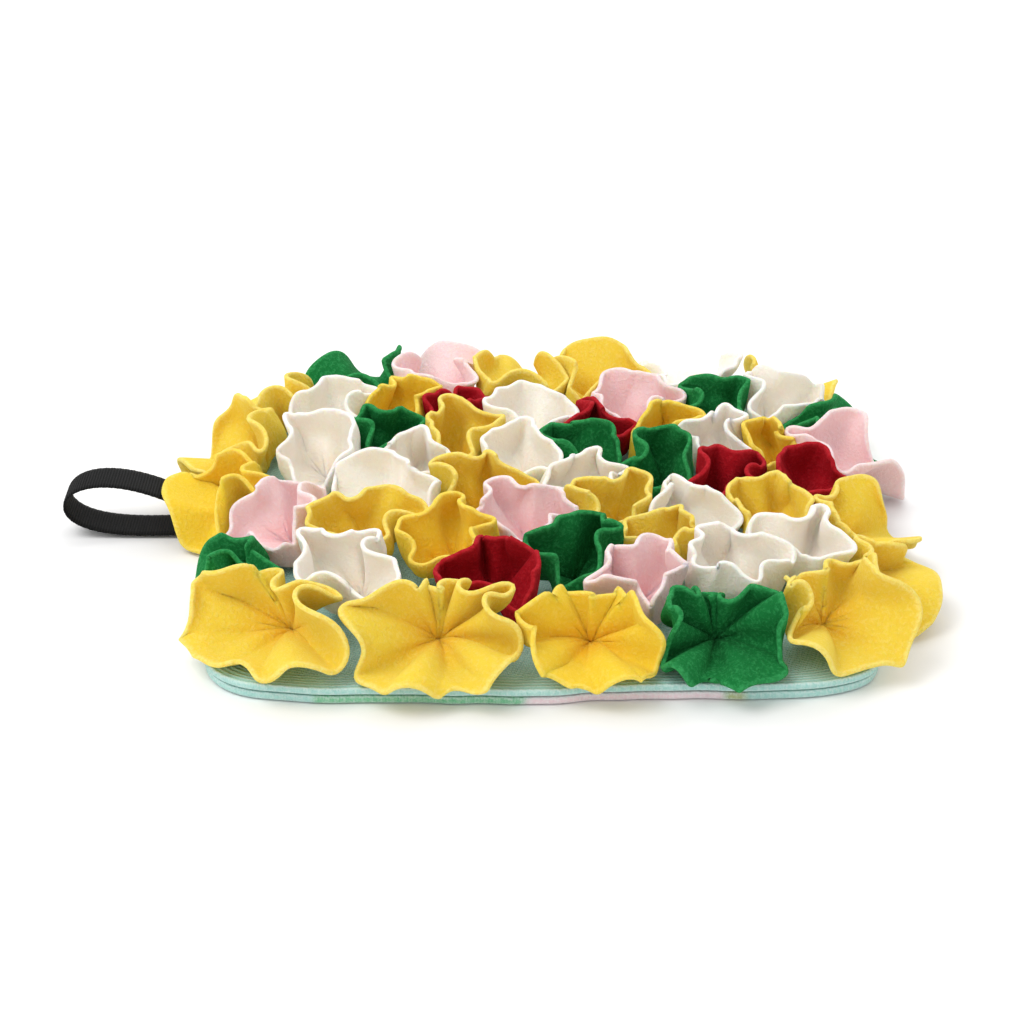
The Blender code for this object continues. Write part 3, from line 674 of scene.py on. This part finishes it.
def sheet_mesh(name, grid, half):
    """A closed sheet on a cup-shaped grid, with a rounded cut edge."""
    normal = normals(grid)
    first = 1  # the row at the sewn middle is closed by a single point instead
    tip = grid[:, -1] - grid[:, -2]
    tip /= np.linalg.norm(tip, axis=1)[:, None]
    steps = [(grid[:, k], half, k / (grid.shape[1] - 1)) for k in range(first, grid.shape[1])]
    steps += [
        (grid[:, -1] + tip * half * out, half * thin, 1.0) for out, thin in RIM_ROUND[1:]
    ]
    level = list(range(first, grid.shape[1])) + [grid.shape[1] - 1] * (len(RIM_ROUND) - 1)
    outer = [points - thin * normal[:, k] for (points, thin, _), k in zip(steps, level)]
    inner = [points + thin * normal[:, k] for (points, thin, _), k in zip(steps, level)]
    share = [s for _, _, s in steps]
    rings = outer + inner[::-1]
    shares = share + share[::-1]
    count = grid.shape[0]
    seat = grid[:, 0].mean(axis=0)
    points = np.concatenate(rings + [[seat - (0.0, 0.0, half)], [inner[0].mean(axis=0)]])
    faces = []
    total = len(rings)
    i = np.arange(count)
    j = (i + 1) % count
    for k in range(total - 1):
        a, b = k * count, (k + 1) * count
        faces.append(np.stack([a + i, a + j, b + j, b + i], axis=1))
    quads = np.concatenate(faces).tolist()
    foot, pit = total * count, total * count + 1
    fans = np.stack([j, i, np.full(count, foot)], axis=1).tolist()
    fans += np.stack([i + (total - 1) * count, j + (total - 1) * count, np.full(count, pit)],
                     axis=1).tolist()
    mesh = bpy.data.meshes.new(name)
    mesh.from_pydata((points * MM).tolist(), [], quads + fans)
    values = np.concatenate([np.full(count, s) for s in shares] + [[0.0], [0.0]])
    store(mesh, "along", values)
    return mesh


def store(mesh, name, values):
    made = mesh.attributes.new(name, "FLOAT", "POINT")
    made.data.foreach_set("value", np.asarray(values, dtype=np.float32))


def piece_of(mesh, material):
    mesh.materials.append(material)
    mesh.polygons.foreach_set("use_smooth", [True] * len(mesh.polygons))
    mesh.validate()
    made = bpy.data.objects.new(mesh.name, mesh)
    bpy.context.scene.collection.objects.link(made)
    return made


def outward(mesh):
    """Turns a closed mesh's faces outwards."""
    work = bmesh.new()
    work.from_mesh(mesh)
    bmesh.ops.recalc_face_normals(work, faces=work.faces)
    work.to_mesh(mesh)
    work.free()


def make_round(index, look):
    colour = str(TABLE["colour"][index])
    node = f"round_{index + 1:02d}_{colour}"
    grid = crimped(softened(surface(index), index, 3), index)
    mesh = sheet_mesh("petals_" + node[6:], grid, 0.5 * FLEECE_THICK)
    outward(mesh)
    made = piece_of(mesh, look)
    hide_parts(node)
    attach(made, "root")
    return made


PANEL_STEPS = 300
PANEL_BACKS = (3.6, 6.0, 10.0, 16.0, 28.0, 50.0, 80.0, 110.0)


def make_panel(name, node, bottom, top, inset, look):
    """One terry panel: a soft rounded edge, and a face that gives a little."""
    count = PANEL_STEPS
    angle = 2.0 * math.pi * np.arange(count) / count
    reach = pad_edge(angle) - inset
    reach += 0.35 * np.sin(23.0 * angle) + 0.25 * np.sin(41.0 * angle + 1.0)
    half = 0.5 * (top - bottom)
    middle = 0.5 * (top + bottom)
    profile = [(back, -1.0) for back in reversed(PANEL_BACKS)]
    for turn in np.linspace(-75.0, 75.0, 9):
        t = math.radians(turn)
        profile.append((2.2 * (1.0 - math.cos(t)), math.sin(t)))
    profile += [(back, 1.0) for back in PANEL_BACKS]
    rings = []
    edge = []
    for back, side in profile:
        away = reach - back
        wave = 0.0
        if side > 0.9:
            wave = 0.35 * np.sin(9.0 * angle + 0.05 * back) * min(1.0, back / 20.0) - 0.2
        x, y = away * np.cos(angle), away * np.sin(angle)
        rings.append(np.stack([x, y, middle + side * half + wave * np.ones(count)], axis=1))
        edge.append(np.full(count, back * MM))
    tops = [[0.0, 0.0, bottom], [0.0, 0.0, top - 0.2]]
    points = np.concatenate(rings + [tops])
    total = len(rings)
    i = np.arange(count)
    j = (i + 1) % count
    faces = []
    for k in range(total - 1):
        faces += np.stack([k * count + i, k * count + j, (k + 1) * count + j,
                           (k + 1) * count + i], axis=1).tolist()
    faces += np.stack([j, i, np.full(count, total * count)], axis=1).tolist()
    last = (total - 1) * count
    faces += np.stack([last + i, last + j, np.full(count, total * count + 1)], axis=1).tolist()
    mesh = bpy.data.meshes.new(name)
    mesh.from_pydata((points * MM).tolist(), [], faces)
    store(mesh, "edge", np.concatenate(edge + [[0.15, 0.15]]))
    outward(mesh)
    made = piece_of(mesh, look)
    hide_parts(node)
    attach(made, "root")
    return made


WEBBING_RIB = 0.00135
WEBBING_STEPS = 560
ROOT_STEPS = 24


def make_loop(look):
    """The webbing: a flat ribbed band that follows the loop's line and lies in the seam."""
    count = WEBBING_STEPS
    line = loop_line(count)
    ends = np.linspace(LOOP_TAIL, 0.6, ROOT_STEPS)
    rise = 0.5 * WEBBING_THICK
    root = np.stack([LOOP_ROOT_X + ends, np.full(ROOT_STEPS, LOOP_ROOT_Z + rise)], axis=1)
    back = root[::-1].copy()
    back[:, 1] = LOOP_ROOT_Z - rise
    path = np.concatenate([root, line, back])
    steps = np.linalg.norm(np.diff(path, axis=0), axis=1)
    run = np.concatenate([[0.0], np.cumsum(steps)])
    even = np.linspace(0.0, run[-1], count)
    path = np.stack([np.interp(even, run, path[:, k]) for k in range(2)], axis=1)
    for _ in range(6):
        path[1:-1] += 0.25 * (path[2:] + path[:-2] - 2.0 * path[1:-1])
    ahead = np.gradient(path, axis=0)
    ahead /= np.linalg.norm(ahead, axis=1)[:, None]
    side = np.stack([-ahead[:, 1], ahead[:, 0]], axis=1)
    rib = 0.10 * np.cos(2.0 * math.pi * even * MM / WEBBING_RIB)
    half_wide = 0.5 * WEBBING_WIDTH
    outline = []
    for across in np.linspace(-half_wide, half_wide, 9):
        outline.append((across, 1.0))
    for across in np.linspace(half_wide, -half_wide, 9):
        outline.append((across, -1.0))
    rings = []
    for across, face in outline:
        near_edge = abs(across) > half_wide - 1.0
        thick = (0.5 * WEBBING_THICK - 0.12 + rib) * (0.55 if near_edge else 1.0)
        x = path[:, 0] + face * thick * side[:, 0]
        z = path[:, 1] + face * thick * side[:, 1]
        y = np.full(count, LOOP_Y + across) + (0.12 * np.sin(even * 1.9) if near_edge else 0.0)
        rings.append(np.stack([x, y, z], axis=1))
    points = np.concatenate(rings)
    total = len(rings)
    i = np.arange(count - 1)
    faces = []
    for k in range(total):
        n = (k + 1) % total
        faces += np.stack([k * count + i, k * count + i + 1, n * count + i + 1, n * count + i],
                          axis=1).tolist()
    faces.append([k * count for k in range(total)])
    faces.append([k * count + count - 1 for k in reversed(range(total))])
    mesh = bpy.data.meshes.new("webbing")
    mesh.from_pydata((points * MM).tolist(), [], faces)
    store(mesh, "run", np.tile(even * MM, total))
    store(mesh, "across", np.concatenate([np.full(count, a * MM) for a, _ in outline]))
    outward(mesh)
    made = piece_of(mesh, look)
    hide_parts("loop")
    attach(made, "root")
    return made


# ---------------------------------------------------------------- stage


FLOOR_HALF = 6.0


def make_floor():
    mesh = bpy.data.meshes.new("floor")
    side = FLOOR_HALF
    mesh.from_pydata([(-side, -side, 0.0), (side, -side, 0.0), (side, side, 0.0),
                      (-side, side, 0.0)], [], [(0, 1, 2, 3)])
    floor = bpy.data.objects.new("floor", mesh)
    bpy.context.scene.collection.objects.link(floor)
    n = Nodes("floor_white")
    n.put(n.shader.inputs["Base Color"], (0.93, 0.93, 0.93, 1.0))
    n.put(n.shader.inputs["Roughness"], 0.9)
    n.put(n.shader.inputs["Specular IOR Level"], 0.1)
    mesh.materials.append(n.material)
    floor.location = (0.0, 0.0, -0.0003)


def aim(obj, target):
    away = Vector(target) - obj.location
    obj.rotation_euler = away.to_track_quat("-Z", "Y").to_euler()


def add_light(name, place, size, power):
    lamp = bpy.data.lights.new(name, "AREA")
    lamp.shape = "RECTANGLE"
    lamp.size = size[0]
    lamp.size_y = size[1]
    lamp.energy = power
    made = bpy.data.objects.new(name, lamp)
    made.location = place
    bpy.context.scene.collection.objects.link(made)
    aim(made, (0.0, 0.0, 0.0))


CAMERA_TARGET = (-0.014, 0.0265, 0.0)
CAMERA_AWAY = 1.2
CAMERA_RISE = math.radians(27.5)
CAMERA_LENS = 86.0


def make_camera():
    camera = bpy.data.cameras.new("camera")
    camera.lens = CAMERA_LENS
    camera.sensor_width = 36.0
    made = bpy.data.objects.new("camera", camera)
    x, y, z = CAMERA_TARGET
    made.location = (x, y - CAMERA_AWAY * math.cos(CAMERA_RISE),
                     z + CAMERA_AWAY * math.sin(CAMERA_RISE))
    bpy.context.scene.collection.objects.link(made)
    aim(made, CAMERA_TARGET)
    bpy.context.scene.camera = made


# One row for each lamp: its place and size in metres, and its power in watts.
LIGHTS = {
    "key": dict(place=(-0.9, -0.5, 1.6), size=(1.1, 1.1), power=15.0),
    "back": dict(place=(0.3, 1.5, 1.3), size=(1.6, 1.0), power=10.0),
}
SKY_STRENGTH = 0.88


def make_lights():
    world = bpy.data.worlds.new("studio")
    world.use_nodes = True
    sky = world.node_tree.nodes["Background"].inputs
    sky["Color"].default_value = (1.0, 1.0, 1.0, 1.0)
    sky["Strength"].default_value = SKY_STRENGTH
    bpy.context.scene.world = world
    for name, look in LIGHTS.items():
        add_light(name, **look)
    bpy.context.scene.view_settings.view_transform = "Standard"
    bpy.context.scene.view_settings.look = "None"


AQUA = (0.36, 0.66, 0.60)

# Bands of colour in the lower panel: from where to where along X, in metres, and the colour.
ZONES = (
    (-0.100, -0.006, (0.16, 0.50, 0.27)),
    (-0.006, 0.076, (0.80, 0.62, 0.66)),
    (0.076, 0.084, (0.40, 0.45, 0.18)),
)


def main():
    looks = {name: fleece(name) for name in FLEECES}
    for index in range(len(ROUNDS)):
        make_round(index, looks[str(TABLE["colour"][index])])
    make_panel("pad_top", "base_top", PAD_LOWER + SEAM_GAP, PAD_TOP, 0.0,
               terry("terry_aqua", AQUA, ()))
    make_panel("pad_bottom", "base_bottom", 0.0, PAD_LOWER, 1.0,
               terry("terry_mixed", AQUA, ZONES))
    make_loop(webbing())
    make_floor()
    make_lights()
    make_camera()


main()
